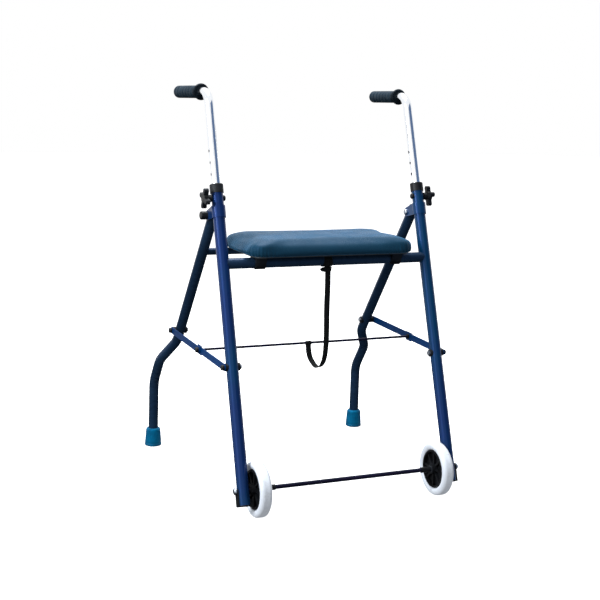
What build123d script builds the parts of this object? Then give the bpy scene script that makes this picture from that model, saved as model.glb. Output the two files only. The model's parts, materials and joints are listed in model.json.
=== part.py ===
"""Folding walking frame with two front wheels, two rubber rear feet and a padded seat.

Frame: +Z up, -Y to the front (wheels), +Y to the rear (grips), X across.
The origin is on the floor, in the middle of the footprint.
"""

import os
from math import atan, cos, radians, sin, sqrt, tan

from build123d import *

# ---------------------------------------------------------------- driving dimensions (mm)
WHEEL_R = 62.5
TYRE_WIDTH = 28.0
RIM_R = 44.0
HUB_BOSS_R = 12.0
HUB_BOSS_WIDTH = 33.0
WHEEL_X = 229.0
SPOKES = 8

LEG_X = 263.0
LEG_R = 14.0
TUBE_WALL = 1.5
LEG_LEAN = 18.3
LEG_BELOW_AXLE = 31.0
LEG_TOP = 690.0

AXLE_R = 5.0
WHEELBASE = 579.0
FOOT_R = 22.0
FOOT_TOP_R = 19.0
FOOT_HEIGHT = 47.0
FOOT_X = 295.0

REAR_LEG_R = 12.5
REAR_LEG_LEAN = 35.85
REAR_RAIL_R = 8.5
REAR_RAIL_Z = 554.3
JOG_TOP_Z = 297.5
JOG_BOTTOM_Z = 241.5
REAR_BEND_R = 60.0

RAIL_R = 12.5
RAIL_UP_LEG = 509.7

PIVOT_UP_LEG = 631.0
PIVOT_BEHIND_LEG = 38.0
BRACKET_WALL = 2.6
BRACKET_HEIGHT = 28.0
EAR_GAP = 26.0
PIVOT_BOLT_R = 4.0

FRONT_PIVOT_UP_LEG = 274.0
REAR_PIVOT_Z = 331.0
FRONT_LINK = 170.0
LINK_WIDTH = 17.0
LINK_THICKNESS = 2.5
LINK_GAP = 0.5
LINK_X = 280.5
BRACE_BOLT_R = 3.0
ROD_R = 3.0

KNOB_UP_LEG = 663.0
KNOB_R = 25.0
COLLAR_R = 16.0
COLLAR_BOTTOM = 675.0
COLLAR_TOP = 696.0
COLLAR_BORE_R = 11.3
SKIRT_BOTTOM = 610.0

HANDLE_R = 11.0
HANDLE_BOTTOM = 520.0
HANDLE_Z = 934.0
HANDLE_DROP = 4.0
HANDLE_END_Y = 474.0
HANDLE_TOE_OUT = 8.0
HANDLE_BEND_R = 40.0
HOLE_PITCH = 28.0
GRIP_LENGTH = 154.0
GRIP_END_WALL = 10.0
GRIP_R = 15.2
GRIP_GUARD_R = 20.0

SEAT_HALF_WIDTH = 209.0
SEAT_FRONT = 106.0
SEAT_REAR = 320.0
SEAT_BOTTOM = 563.2
SEAT_TOP = 605.0
BOARD_THICKNESS = 8.0
SEAT_CORNER_R = 34.0

STRAP_WIDTH = 14.0
STRAP_THICKNESS = 1.6

FIT = 0.05
GAP = 0.3

# ---------------------------------------------------------------- derived places
# Distances "behind" are measured from the wheel axle; AXLE_Y puts the origin mid-footprint.
AXLE_Y = -(WHEELBASE + FOOT_R - WHEEL_R) / 2
LEAN = radians(LEG_LEAN)
REAR_SLOPE = tan(radians(REAR_LEG_LEAN))
SIDES = (("left", -1), ("right", 1))


def on_leg(along, behind=0.0):
    """Y and Z of a point at a distance along the front leg from the axle, and behind the leg."""
    y = AXLE_Y + along * sin(LEAN) + behind * cos(LEAN)
    z = WHEEL_R + along * cos(LEAN) - behind * sin(LEAN)
    return y, z


def leg_plane(sign, along=0.0):
    """Plane square to the front leg: X across, Y behind the leg, Z up the leg."""
    y, z = on_leg(along)
    return Plane(origin=(sign * LEG_X, y, z), x_dir=(1, 0, 0), z_dir=(0, sin(LEAN), cos(LEAN)))


def cross_plane(sign, along, behind=0.0, x=LEG_X):
    """Plane square to X at a point near the front leg: its local X runs up the leg."""
    y, z = on_leg(along, behind)
    return Plane(origin=(sign * x, y, z), x_dir=(0, sin(LEAN), cos(LEAN)), z_dir=(1, 0, 0))


def side_plane(x, y, z, outward=1):
    """Plane square to X whose normal points to +X, or to -X when outward is -1."""
    return Plane(origin=(x, y, z), x_dir=(0, outward, 0), z_dir=(outward, 0, 0))


PIVOT_Y, PIVOT_Z = on_leg(PIVOT_UP_LEG, PIVOT_BEHIND_LEG)
FRONT_PIVOT_Y, FRONT_PIVOT_Z = on_leg(FRONT_PIVOT_UP_LEG)
RAIL_Y, RAIL_Z = on_leg(RAIL_UP_LEG)


def rear_leg_y(z):
    """Y of the straight upper stretch of a rear leg at a height."""
    return PIVOT_Y + (PIVOT_Z - z) * REAR_SLOPE


def rear_leg_plane(sign):
    """Plane square to a rear leg's upper stretch, at the rail: X across, Z down the leg."""
    origin = (sign * LEG_X, rear_leg_y(REAR_RAIL_Z), REAR_RAIL_Z)
    return Plane(origin=origin, x_dir=(1, 0, 0), z_dir=(0, REAR_SLOPE, -1))


REAR_PIVOT_Y = rear_leg_y(REAR_PIVOT_Z)
BRACE_LENGTH = sqrt((REAR_PIVOT_Y - FRONT_PIVOT_Y) ** 2 + (REAR_PIVOT_Z - FRONT_PIVOT_Z) ** 2)
BRACE_RISE = atan((REAR_PIVOT_Z - FRONT_PIVOT_Z) / (REAR_PIVOT_Y - FRONT_PIVOT_Y))
JOINT_Y = FRONT_PIVOT_Y + FRONT_LINK * cos(BRACE_RISE)
JOINT_Z = FRONT_PIVOT_Z + FRONT_LINK * sin(BRACE_RISE)
FOOT_Y = AXLE_Y + WHEELBASE

os.makedirs("parts", exist_ok=True)


def save(part, label):
    """Label one finished piece and write it as its own STEP file."""
    part.label = label
    export_step(part, f"parts/{label}.step")


# ---------------------------------------------------------------- front frame
for side, sign in SIDES:
    with BuildPart() as front_leg:
        with BuildSketch(leg_plane(sign, -LEG_BELOW_AXLE)):
            Circle(LEG_R)
            Circle(LEG_R - TUBE_WALL, mode=Mode.SUBTRACT)
        extrude(amount=LEG_TOP + LEG_BELOW_AXLE)
        for along, radius in ((0.0, AXLE_R + FIT), (FRONT_PIVOT_UP_LEG, BRACE_BOLT_R + FIT)):
            with BuildSketch(cross_plane(sign, along)):
                Circle(radius)
            extrude(amount=LEG_R + 1, both=True, mode=Mode.SUBTRACT)
        with BuildSketch(cross_plane(sign, KNOB_UP_LEG)):
            Circle(BRACE_BOLT_R + GAP)
        extrude(amount=sign * (LEG_R + 1), mode=Mode.SUBTRACT)
    save(front_leg.part, f"front_leg_{side}")

with BuildPart() as front_rail:
    with BuildSketch(side_plane(0, RAIL_Y, RAIL_Z)):
        Circle(RAIL_R)
        Circle(RAIL_R - TUBE_WALL, mode=Mode.SUBTRACT)
    extrude(amount=LEG_X, both=True)
    for sign in (-1, 1):
        with BuildSketch(leg_plane(sign, RAIL_UP_LEG - 40)):
            Circle(LEG_R)
        extrude(amount=80, mode=Mode.SUBTRACT)
save(front_rail.part, "front_rail")

AXLE_END = LEG_X + LEG_R + 5.0
with BuildPart() as axle:
    with BuildSketch(side_plane(0, AXLE_Y, WHEEL_R)):
        Circle(AXLE_R)
    extrude(amount=AXLE_END, both=True)
    chamfer(axle.edges().filter_by(GeomType.CIRCLE), 0.8)
save(axle.part, "axle")

# Sleeve on the inner side of each wheel and thin washer on its outer side, both on the axle.
BOSS_INNER = WHEEL_X - HUB_BOSS_WIDTH / 2
BOSS_OUTER = WHEEL_X + HUB_BOSS_WIDTH / 2
SLEEVE_LENGTH = 26.0
SLEEVE_R = 6.5
for label, start, length, radius in (
    ("axle_sleeves", BOSS_INNER - GAP - SLEEVE_LENGTH, SLEEVE_LENGTH, SLEEVE_R),
    ("axle_washers", BOSS_OUTER + GAP, 2.5, 9.0),
):
    with BuildPart() as ring:
        for sign in (-1, 1):
            with BuildSketch(side_plane(sign * start, AXLE_Y, WHEEL_R, sign)):
                Circle(radius)
                Circle(AXLE_R, mode=Mode.SUBTRACT)
            extrude(amount=length)
    save(ring.part, label)

AXLE_CAP_R = 8.0
AXLE_CAP_LENGTH = 5.5
TAB_THICKNESS = 3.0
TAB_WIDTH = 13.0
TAB_LENGTH = LEG_BELOW_AXLE + 4.0
PLUG_DEPTH = 16.0
with BuildPart() as axle_caps:
    for sign in (-1, 1):
        with BuildSketch(side_plane(sign * (LEG_X + LEG_R + TAB_THICKNESS), AXLE_Y, WHEEL_R, sign)):
            Circle(AXLE_CAP_R)
        extrude(amount=AXLE_CAP_LENGTH)
        fillet(axle_caps.faces().sort_by(Axis.X)[-1 if sign > 0 else 0].edges(), 3.5)
        with BuildSketch(side_plane(sign * (LEG_X + LEG_R), AXLE_Y, WHEEL_R, sign)):
            Circle(AXLE_R + FIT)
        extrude(amount=5.2, mode=Mode.SUBTRACT)
save(axle_caps.part, "axle_caps")

# Plug in each leg tube's lower end, with a tab that runs up the outside to the axle.
with BuildPart() as leg_ends:
    for sign in (-1, 1):
        with BuildSketch(leg_plane(sign, -TAB_LENGTH)):
            Circle(LEG_R)
        extrude(amount=TAB_LENGTH - LEG_BELOW_AXLE)
        with BuildSketch(leg_plane(sign, -LEG_BELOW_AXLE)):
            Circle(LEG_R - TUBE_WALL)
        extrude(amount=PLUG_DEPTH)
        with BuildSketch(cross_plane(sign, -TAB_LENGTH / 2)):
            Rectangle(TAB_LENGTH, TAB_WIDTH)
            with Locations((TAB_LENGTH / 2, 0)):
                Circle(TAB_WIDTH / 2)
        extrude(amount=sign * (LEG_R + TAB_THICKNESS))
        with BuildSketch(leg_plane(sign, -LEG_BELOW_AXLE)):
            Circle(LEG_R + FIT)
            Circle(LEG_R - TUBE_WALL - FIT, mode=Mode.SUBTRACT)
        extrude(amount=2 * LEG_BELOW_AXLE, mode=Mode.SUBTRACT)
        with BuildSketch(leg_plane(sign, PLUG_DEPTH - LEG_BELOW_AXLE)):
            Circle(LEG_R)
        extrude(amount=2 * LEG_BELOW_AXLE, mode=Mode.SUBTRACT)
        with BuildSketch(cross_plane(sign, 0)):
            Circle(AXLE_R + FIT)
        extrude(amount=sign * 2 * LEG_R, mode=Mode.SUBTRACT)
save(leg_ends.part, "leg_ends")

# Pivot bracket: a band round the front leg with two ears that hold the rear leg's top.
for side, sign in SIDES:
    with BuildPart() as bracket:
        with BuildSketch(leg_plane(sign, PIVOT_UP_LEG - BRACKET_HEIGHT / 2)):
            Circle(LEG_R + BRACKET_WALL)
        extrude(amount=BRACKET_HEIGHT)
        for ear in (-1, 1):
            ear_x = sign * LEG_X + ear * EAR_GAP / 2
            y, z = on_leg(PIVOT_UP_LEG)
            ear_plane = Plane(
                origin=(ear_x, y, z), x_dir=(0, sin(LEAN), cos(LEAN)), z_dir=(1, 0, 0)
            )
            with BuildSketch(ear_plane):
                with Locations((0, -2.0)):
                    Rectangle(BRACKET_HEIGHT, 4.0)
                with Locations((0, -PIVOT_BEHIND_LEG)):
                    Circle(11.0)
                make_hull()
            extrude(amount=ear * BRACKET_WALL)
        with BuildSketch(leg_plane(sign, PIVOT_UP_LEG - BRACKET_HEIGHT)):
            Circle(LEG_R + 0.02)
        extrude(amount=2 * BRACKET_HEIGHT, mode=Mode.SUBTRACT)
        with BuildSketch(side_plane(sign * LEG_X, PIVOT_Y, PIVOT_Z)):
            Circle(PIVOT_BOLT_R + FIT)
        extrude(amount=EAR_GAP, both=True, mode=Mode.SUBTRACT)
    save(bracket.part, f"pivot_bracket_{side}")

EAR_OUTER = EAR_GAP / 2 + BRACKET_WALL
BOLT_HEAD_R = 7.0
BOLT_HEAD_LENGTH = 5.0
CAP_NUT_R = 9.8
CAP_NUT_LENGTH = 16.0
with BuildPart() as pivot_bolts:
    for sign in (-1, 1):
        head_x = sign * (LEG_X - EAR_OUTER)
        with BuildSketch(side_plane(head_x, PIVOT_Y, PIVOT_Z, sign)):
            Circle(PIVOT_BOLT_R)
        extrude(amount=2 * EAR_OUTER + 8.0)
        with BuildSketch(side_plane(head_x, PIVOT_Y, PIVOT_Z, -sign)):
            Circle(BOLT_HEAD_R)
        extrude(amount=BOLT_HEAD_LENGTH)
        head_end = Vector(head_x - sign * BOLT_HEAD_LENGTH, PIVOT_Y, PIVOT_Z)
        fillet(pivot_bolts.faces().sort_by_distance(head_end)[0].edges(), 2.5)
save(pivot_bolts.part, "pivot_bolts")

with BuildPart() as pivot_cap_nuts:
    for sign in (-1, 1):
        with BuildSketch(side_plane(sign * (LEG_X + EAR_OUTER), PIVOT_Y, PIVOT_Z, sign)):
            Circle(CAP_NUT_R)
        extrude(amount=CAP_NUT_LENGTH)
        fillet(pivot_cap_nuts.faces().sort_by(Axis.X)[-1 if sign > 0 else 0].edges(), 2.0)
        with BuildSketch(side_plane(sign * (LEG_X + EAR_OUTER), PIVOT_Y, PIVOT_Z, sign)):
            Circle(PIVOT_BOLT_R)
        extrude(amount=8.0, mode=Mode.SUBTRACT)
save(pivot_cap_nuts.part, "pivot_cap_nuts")

# Collar on the leg's top end, with a thin guide skirt inside the leg.
for side, sign in SIDES:
    with BuildPart() as collar:
        with BuildSketch(leg_plane(sign, COLLAR_BOTTOM)):
            Circle(COLLAR_R)
        extrude(amount=COLLAR_TOP - COLLAR_BOTTOM)
        fillet(collar.edges().filter_by(GeomType.CIRCLE).sort_by(Axis.Z)[-1], 2.0)
        with BuildSketch(leg_plane(sign, COLLAR_BOTTOM)):
            Circle(LEG_R)
        extrude(amount=LEG_TOP - COLLAR_BOTTOM, mode=Mode.SUBTRACT)
        with BuildSketch(leg_plane(sign, SKIRT_BOTTOM)):
            Circle(LEG_R - TUBE_WALL)
        extrude(amount=LEG_TOP - SKIRT_BOTTOM)
        with BuildSketch(leg_plane(sign, SKIRT_BOTTOM)):
            Circle(COLLAR_BORE_R)
        extrude(amount=COLLAR_TOP - SKIRT_BOTTOM, mode=Mode.SUBTRACT)
        with BuildSketch(cross_plane(sign, KNOB_UP_LEG)):
            Circle(BRACE_BOLT_R + GAP)
        extrude(amount=sign * LEG_R, mode=Mode.SUBTRACT)
    save(collar.part, f"leg_collar_{side}")

# Round head on the leg's inner side, opposite the clamping knob.
CLAMP_HEAD_R = 7.0
CLAMP_HEAD_LENGTH = 5.0
with BuildPart() as clamp_heads:
    for sign in (-1, 1):
        with BuildSketch(cross_plane(sign, KNOB_UP_LEG)):
            Circle(CLAMP_HEAD_R)
        extrude(amount=-sign * (LEG_R + CLAMP_HEAD_LENGTH))
        knob_y, knob_z = on_leg(KNOB_UP_LEG)
        head_end = Vector(sign * (LEG_X - LEG_R - CLAMP_HEAD_LENGTH), knob_y, knob_z)
        fillet(clamp_heads.faces().sort_by_distance(head_end)[0].edges(), 3.0)
        with BuildSketch(leg_plane(sign, KNOB_UP_LEG - 20)):
            Circle(LEG_R)
        extrude(amount=40, mode=Mode.SUBTRACT)
save(clamp_heads.part, "clamp_heads")

# ---------------------------------------------------------------- clamping knobs
SCREW_TIP = COLLAR_BORE_R + 0.1
KNOB_INNER = LEG_R + 1.0
KNOB_THICKNESS = 11.0
KNOB_BOSS = 10.0
KNOB_LOBE_R = 6.0
KNOB_TURN = {"left": 38, "right": 2}
for side, sign in SIDES:
    with BuildPart() as knob:
        with BuildSketch(cross_plane(sign, KNOB_UP_LEG).offset(sign * KNOB_INNER)):
            Circle(8.5)
        extrude(amount=sign * KNOB_BOSS)
        with BuildSketch(cross_plane(sign, KNOB_UP_LEG).offset(sign * (KNOB_INNER + KNOB_BOSS))):
            Circle(12.0)
            with PolarLocations(KNOB_R - KNOB_LOBE_R, 4, start_angle=KNOB_TURN[side]):
                Circle(KNOB_LOBE_R)
            with PolarLocations(KNOB_R / 2 - 1, 4, start_angle=KNOB_TURN[side]):
                Rectangle(KNOB_R - 7, 2 * KNOB_LOBE_R - 1)
        extrude(amount=sign * KNOB_THICKNESS)
        fillet(knob.faces().sort_by(Axis.X)[-1 if sign > 0 else 0].edges(), 1.6)
        with BuildSketch(cross_plane(sign, KNOB_UP_LEG).offset(sign * KNOB_INNER)):
            Circle(BRACE_BOLT_R)
        extrude(amount=sign * (KNOB_BOSS + 4.0), mode=Mode.SUBTRACT)
    save(knob.part, f"knob_{side}")

    with BuildPart() as knob_screw:
        with BuildSketch(cross_plane(sign, KNOB_UP_LEG).offset(sign * SCREW_TIP)):
            Circle(BRACE_BOLT_R)
        extrude(amount=sign * (KNOB_INNER + KNOB_BOSS + 4.0 - SCREW_TIP))
    save(knob_screw.part, f"knob_screw_{side}")

# ---------------------------------------------------------------- handles
BEND_Y = AXLE_Y + (HANDLE_Z - WHEEL_R) * tan(LEAN)
HANDLE_HOLES = range(-2, 5)
GRIP_RINGS = range(32, 141, 18)
GROOVE_SHAPE = ((-3.0, 0.0), (-1.5, 1.0), (1.5, 1.0), (3.0, 0.0))
PALM_LINE = [
    (GRIP_R - depth, ring + along) for ring in GRIP_RINGS for along, depth in GROOVE_SHAPE
]
for side, sign in SIDES:
    low_y, low_z = on_leg(HANDLE_BOTTOM)
    handle_end = Vector(
        sign * (LEG_X + HANDLE_TOE_OUT), AXLE_Y + HANDLE_END_Y, HANDLE_Z - HANDLE_DROP
    )
    bend = Vector(sign * LEG_X, BEND_Y, HANDLE_Z)
    with BuildPart() as handle_tube:
        with BuildLine() as handle_path:
            FilletPolyline(
                (sign * LEG_X, low_y, low_z), bend, handle_end, radius=HANDLE_BEND_R
            )
        with BuildSketch(leg_plane(sign, HANDLE_BOTTOM)):
            Circle(HANDLE_R)
            Circle(HANDLE_R - TUBE_WALL, mode=Mode.SUBTRACT)
        sweep(path=handle_path.line)
        for step in HANDLE_HOLES:
            with BuildSketch(cross_plane(sign, KNOB_UP_LEG + step * HOLE_PITCH)):
                Circle(3.4)
            extrude(amount=HANDLE_R + 1, both=True, mode=Mode.SUBTRACT)
    save(handle_tube.part, f"handle_tube_{side}")

    with BuildPart() as guide:
        with BuildSketch(leg_plane(sign, HANDLE_BOTTOM - 3)):
            Circle(LEG_R - TUBE_WALL - FIT)
        extrude(amount=3)
        with BuildSketch(leg_plane(sign, HANDLE_BOTTOM)):
            Circle(HANDLE_R - TUBE_WALL)
        extrude(amount=20)
    save(guide.part, f"handle_guide_{side}")

    # Hand grip: a flared guard at the front, a ringed palm and a blunt end.
    grip_dir = (handle_end - bend).normalized()
    grip_plane = Plane(
        origin=handle_end - grip_dir * (GRIP_LENGTH - GRIP_END_WALL),
        x_dir=(0, 0, 1),
        z_dir=grip_dir,
    )
    with BuildPart() as grip:
        with BuildSketch(Plane(grip_plane.origin, grip_plane.x_dir, -grip_plane.y_dir)):
            with BuildLine():
                Polyline(
                    (HANDLE_R, 0),
                    (GRIP_GUARD_R - 2, 0),
                    (GRIP_GUARD_R, 3),
                    (GRIP_GUARD_R - 2, 7),
                    (GRIP_R - 1, 14),
                    *PALM_LINE,
                    (GRIP_R, GRIP_LENGTH - 5),
                    (GRIP_R - 1.5, GRIP_LENGTH - 1.5),
                    (GRIP_R - 5, GRIP_LENGTH),
                    (0, GRIP_LENGTH),
                    (0, GRIP_LENGTH - GRIP_END_WALL),
                    (HANDLE_R, GRIP_LENGTH - GRIP_END_WALL),
                    (HANDLE_R, 0),
                )
            make_face()
        revolve(axis=Axis(grip_plane.origin, grip_dir))
    save(grip.part, f"grip_{side}")

# ---------------------------------------------------------------- wheels
BUSH_R = 8.0
RIM_WIDTH = 24.0
WEB_THICKNESS = 4.0
for side, sign in SIDES:
    hub_plane = side_plane(sign * WHEEL_X, AXLE_Y, WHEEL_R)
    with BuildPart() as tyre:
        with BuildSketch(Plane(origin=hub_plane.origin, x_dir=(1, 0, 0), z_dir=(0, -1, 0))):
            with Locations((0, (RIM_R + WHEEL_R) / 2)):
                RectangleRounded(TYRE_WIDTH, WHEEL_R - RIM_R, 8.9)
        revolve(axis=Axis(hub_plane.origin, (1, 0, 0)))
        with BuildSketch(hub_plane):
            Circle(RIM_R)
        extrude(amount=TYRE_WIDTH, both=True, mode=Mode.SUBTRACT)
    save(tyre.part, f"tyre_{side}")

    with BuildPart() as rim:
        with BuildSketch(hub_plane):
            Circle(RIM_R)
            Circle(RIM_R - 4.0, mode=Mode.SUBTRACT)
        extrude(amount=RIM_WIDTH / 2, both=True)
        with BuildSketch(hub_plane):
            Circle(RIM_R - 2.0)
        extrude(amount=WEB_THICKNESS / 2, both=True)
        with BuildSketch(hub_plane):
            Circle(HUB_BOSS_R)
        extrude(amount=HUB_BOSS_WIDTH / 2, both=True)
        with BuildSketch(hub_plane):
            with PolarLocations(RIM_R / 2 + 3, SPOKES):
                Rectangle(RIM_R - 10, 4.0)
        extrude(amount=RIM_WIDTH / 2 - 3, both=True)
        with BuildSketch(hub_plane):
            Circle(BUSH_R)
        extrude(amount=HUB_BOSS_WIDTH, both=True, mode=Mode.SUBTRACT)
    save(rim.part, f"rim_{side}")

    with BuildPart() as wheel_bush:
        with BuildSketch(hub_plane):
            Circle(BUSH_R)
            Circle(AXLE_R + FIT, mode=Mode.SUBTRACT)
        extrude(amount=HUB_BOSS_WIDTH / 2, both=True)
    save(wheel_bush.part, f"wheel_bush_{side}")

# ---------------------------------------------------------------- rear frame
BUSH_OUTER_R = 6.5
TOP_BEYOND_PIVOT = 13.0
FOOT_SOLE = 12.0
for side, sign in SIDES:
    top_z = PIVOT_Z + TOP_BEYOND_PIVOT * cos(radians(REAR_LEG_LEAN))
    top = (sign * LEG_X, rear_leg_y(top_z), top_z)
    knee = (sign * LEG_X, rear_leg_y(JOG_TOP_Z), JOG_TOP_Z)
    shin = (sign * FOOT_X, rear_leg_y(JOG_BOTTOM_Z), JOG_BOTTOM_Z)
    ankle = (sign * FOOT_X, FOOT_Y, PIVOT_Z - (FOOT_Y - PIVOT_Y) / REAR_SLOPE)
    toe = (sign * FOOT_X, FOOT_Y, FOOT_SOLE)
    down = Vector(*knee) - Vector(*top)
    with BuildPart() as rear_leg:
        with BuildLine() as rear_path:
            FilletPolyline(top, knee, shin, ankle, toe, radius=REAR_BEND_R)
        with BuildSketch(Plane(origin=top, x_dir=(1, 0, 0), z_dir=down)):
            Circle(REAR_LEG_R)
            Circle(REAR_LEG_R - TUBE_WALL, mode=Mode.SUBTRACT)
        sweep(path=rear_path.line)
        with BuildSketch(side_plane(sign * LEG_X, PIVOT_Y, PIVOT_Z)):
            Circle(BUSH_OUTER_R)
        extrude(amount=2 * REAR_LEG_R, both=True, mode=Mode.SUBTRACT)
        with BuildSketch(side_plane(sign * LEG_X, REAR_PIVOT_Y, REAR_PIVOT_Z)):
            Circle(BRACE_BOLT_R + FIT)
        extrude(amount=2 * REAR_LEG_R, both=True, mode=Mode.SUBTRACT)
    save(rear_leg.part, f"rear_leg_{side}")

    with BuildPart() as foot:
        with BuildSketch(Plane.XZ):
            with BuildLine():
                Polyline(
                    (FOOT_TOP_R, FOOT_HEIGHT - 5),
                    (FOOT_R - 0.6, 9),
                    (FOOT_R - 1.4, 8),
                    (FOOT_R - 0.4, 7),
                    (FOOT_R, 2),
                    (FOOT_R - 2, 0),
                    (0, 0),
                    (0, FOOT_SOLE),
                    (REAR_LEG_R, FOOT_SOLE),
                    (REAR_LEG_R, FOOT_HEIGHT),
                    (FOOT_TOP_R - 5, FOOT_HEIGHT),
                )
                JernArc((FOOT_TOP_R - 5, FOOT_HEIGHT), (1, 0), 5, -90)
            make_face()
        revolve(axis=Axis.Z)
    save(foot.part.moved(Location((sign * FOOT_X, FOOT_Y, 0))), f"foot_{side}")

with BuildPart() as pivot_bushes:
    for sign in (-1, 1):
        with BuildSketch(side_plane(sign * LEG_X, PIVOT_Y, PIVOT_Z)):
            Circle(BUSH_OUTER_R)
            Circle(PIVOT_BOLT_R + FIT, mode=Mode.SUBTRACT)
        extrude(amount=EAR_GAP / 2 - GAP, both=True)
save(pivot_bushes.part, "pivot_bushes")

# Plastic plugs that close the rear legs' top ends.
top_z = PIVOT_Z + TOP_BEYOND_PIVOT * cos(radians(REAR_LEG_LEAN))
with BuildPart() as rear_leg_caps:
    for sign in (-1, 1):
        top = (sign * LEG_X, rear_leg_y(top_z), top_z)
        with BuildSketch(Plane(origin=top, x_dir=(1, 0, 0), z_dir=(0, -REAR_SLOPE, 1))):
            Circle(REAR_LEG_R)
        extrude(amount=2.5)
        with BuildSketch(Plane(origin=top, x_dir=(1, 0, 0), z_dir=(0, REAR_SLOPE, -1))):
            Circle(REAR_LEG_R - TUBE_WALL)
        extrude(amount=3.0)
save(rear_leg_caps.part, "rear_leg_caps")

REAR_RAIL_Y = rear_leg_y(REAR_RAIL_Z)
with BuildPart() as rear_rail:
    with BuildSketch(side_plane(0, REAR_RAIL_Y, REAR_RAIL_Z)):
        Circle(REAR_RAIL_R)
        Circle(REAR_RAIL_R - TUBE_WALL, mode=Mode.SUBTRACT)
    extrude(amount=LEG_X, both=True)
    for sign in (-1, 1):
        with BuildSketch(rear_leg_plane(sign)):
            Circle(REAR_LEG_R)
        extrude(amount=50, both=True, mode=Mode.SUBTRACT)
save(rear_rail.part, "rear_rail")

# ---------------------------------------------------------------- brace spacers and bolts
SPACER_R = 9.0
SPACER_WALL = 3.5
REAR_LINK_X = LINK_X + LINK_THICKNESS + LINK_GAP

for where, tube_r, link_x, tube_plane, pivot_y, pivot_z in (
    ("front", LEG_R, LINK_X, leg_plane, FRONT_PIVOT_Y, FRONT_PIVOT_Z),
    ("rear", REAR_LEG_R, REAR_LINK_X, rear_leg_plane, REAR_PIVOT_Y, REAR_PIVOT_Z),
):
    # Plastic saddle washers on both sides of the tube; the outer one holds the link off it.
    inner_x = LEG_X - tube_r - SPACER_WALL
    with BuildPart() as spacers:
        for sign in (-1, 1):
            with BuildSketch(side_plane(sign * inner_x, pivot_y, pivot_z, sign)):
                Circle(SPACER_R)
            extrude(amount=link_x - GAP - inner_x)
            with BuildSketch(tube_plane(sign)):
                Circle(tube_r + 0.02)
            extrude(amount=LEG_TOP, both=True, mode=Mode.SUBTRACT)
            with BuildSketch(side_plane(sign * LEG_X, pivot_y, pivot_z)):
                Circle(BRACE_BOLT_R + FIT)
            extrude(amount=2 * LEG_R, both=True, mode=Mode.SUBTRACT)
    save(spacers.part, f"{where}_spacers")

    # Bolts from the inner side, through the tube, the spacers and the link.
    outer_x = link_x + LINK_THICKNESS + GAP
    with BuildPart() as bolts:
        for sign in (-1, 1):
            with BuildSketch(side_plane(sign * inner_x, pivot_y, pivot_z, sign)):
                Circle(BRACE_BOLT_R)
            extrude(amount=outer_x - inner_x + 3.0)
            with BuildSketch(side_plane(sign * inner_x, pivot_y, pivot_z, -sign)):
                RegularPolygon(6.0, 6)
            extrude(amount=4.0)
    save(bolts.part, f"{where}_brace_bolts")

    with BuildPart() as bolt_caps:
        for sign in (-1, 1):
            with BuildSketch(side_plane(sign * outer_x, pivot_y, pivot_z, sign)):
                Circle(6.5)
            extrude(amount=6.5)
            fillet(bolt_caps.faces().sort_by(Axis.X)[-1 if sign > 0 else 0].edges(), 3.0)
            with BuildSketch(side_plane(sign * outer_x, pivot_y, pivot_z, sign)):
                Circle(BRACE_BOLT_R)
            extrude(amount=3.0, mode=Mode.SUBTRACT)
    save(bolt_caps.part, f"{where}_bolt_caps")

# ---------------------------------------------------------------- folding braces
REAR_LINK = BRACE_LENGTH - FRONT_LINK
# Each front link ends in a wider plate behind the rear link's end.
PLATE_LENGTH = 26.0
PLATE_WIDTH = 22.0
for where, link_x, start_y, start_z, length, turn in (
    ("front", LINK_X, FRONT_PIVOT_Y, FRONT_PIVOT_Z, FRONT_LINK, 1),
    ("rear", REAR_LINK_X, REAR_PIVOT_Y, REAR_PIVOT_Z, REAR_LINK, -1),
):
    direction = (0, turn * cos(BRACE_RISE), turn * sin(BRACE_RISE))
    for side, sign in SIDES:
        link_plane = Plane(
            origin=(sign * link_x, start_y, start_z), x_dir=direction, z_dir=(sign, 0, 0)
        )
        with BuildPart() as link:
            with BuildSketch(link_plane):
                with Locations((length / 2, 0)):
                    SlotCenterToCenter(length, LINK_WIDTH)
            extrude(amount=LINK_THICKNESS)
            chamfer(link.faces().filter_by(Axis.X).edges(), 0.5)
            if where == "front":
                with BuildSketch(link_plane):
                    with Locations((length, 0)):
                        Rectangle(PLATE_LENGTH, PLATE_WIDTH)
                extrude(amount=LINK_THICKNESS)
            hole_end = ROD_R if where == "front" else BRACE_BOLT_R
            with BuildSketch(link_plane):
                Circle(BRACE_BOLT_R + FIT)
                with Locations((length, 0)):
                    Circle(hole_end)
            extrude(amount=LINK_THICKNESS, mode=Mode.SUBTRACT)
        save(link.part, f"brace_{where}_link_{side}")

with BuildPart() as cross_rod:
    with BuildSketch(side_plane(0, JOINT_Y, JOINT_Z)):
        Circle(ROD_R)
    extrude(amount=LINK_X + LINK_THICKNESS, both=True)
save(cross_rod.part, "cross_rod")

# Washers pressed on the rod against the inner faces of the front links.
with BuildPart() as rod_collars:
    for sign in (-1, 1):
        with BuildSketch(side_plane(sign * (LINK_X - 4.0), JOINT_Y, JOINT_Z, sign)):
            Circle(6.0)
            Circle(ROD_R, mode=Mode.SUBTRACT)
        extrude(amount=4.0)
save(rod_collars.part, "rod_collars")

with BuildPart() as joint_caps:
    for sign in (-1, 1):
        cap_x = sign * (REAR_LINK_X + LINK_THICKNESS)
        with BuildSketch(side_plane(cap_x, JOINT_Y, JOINT_Z, sign)):
            Circle(6.5)
        extrude(amount=7.0)
        fillet(joint_caps.faces().sort_by(Axis.X)[-1 if sign > 0 else 0].edges(), 3.0)
        with BuildSketch(side_plane(sign * REAR_LINK_X, JOINT_Y, JOINT_Z, sign)):
            Circle(BRACE_BOLT_R)
        extrude(amount=LINK_THICKNESS)
save(joint_caps.part, "brace_joint_caps")

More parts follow.
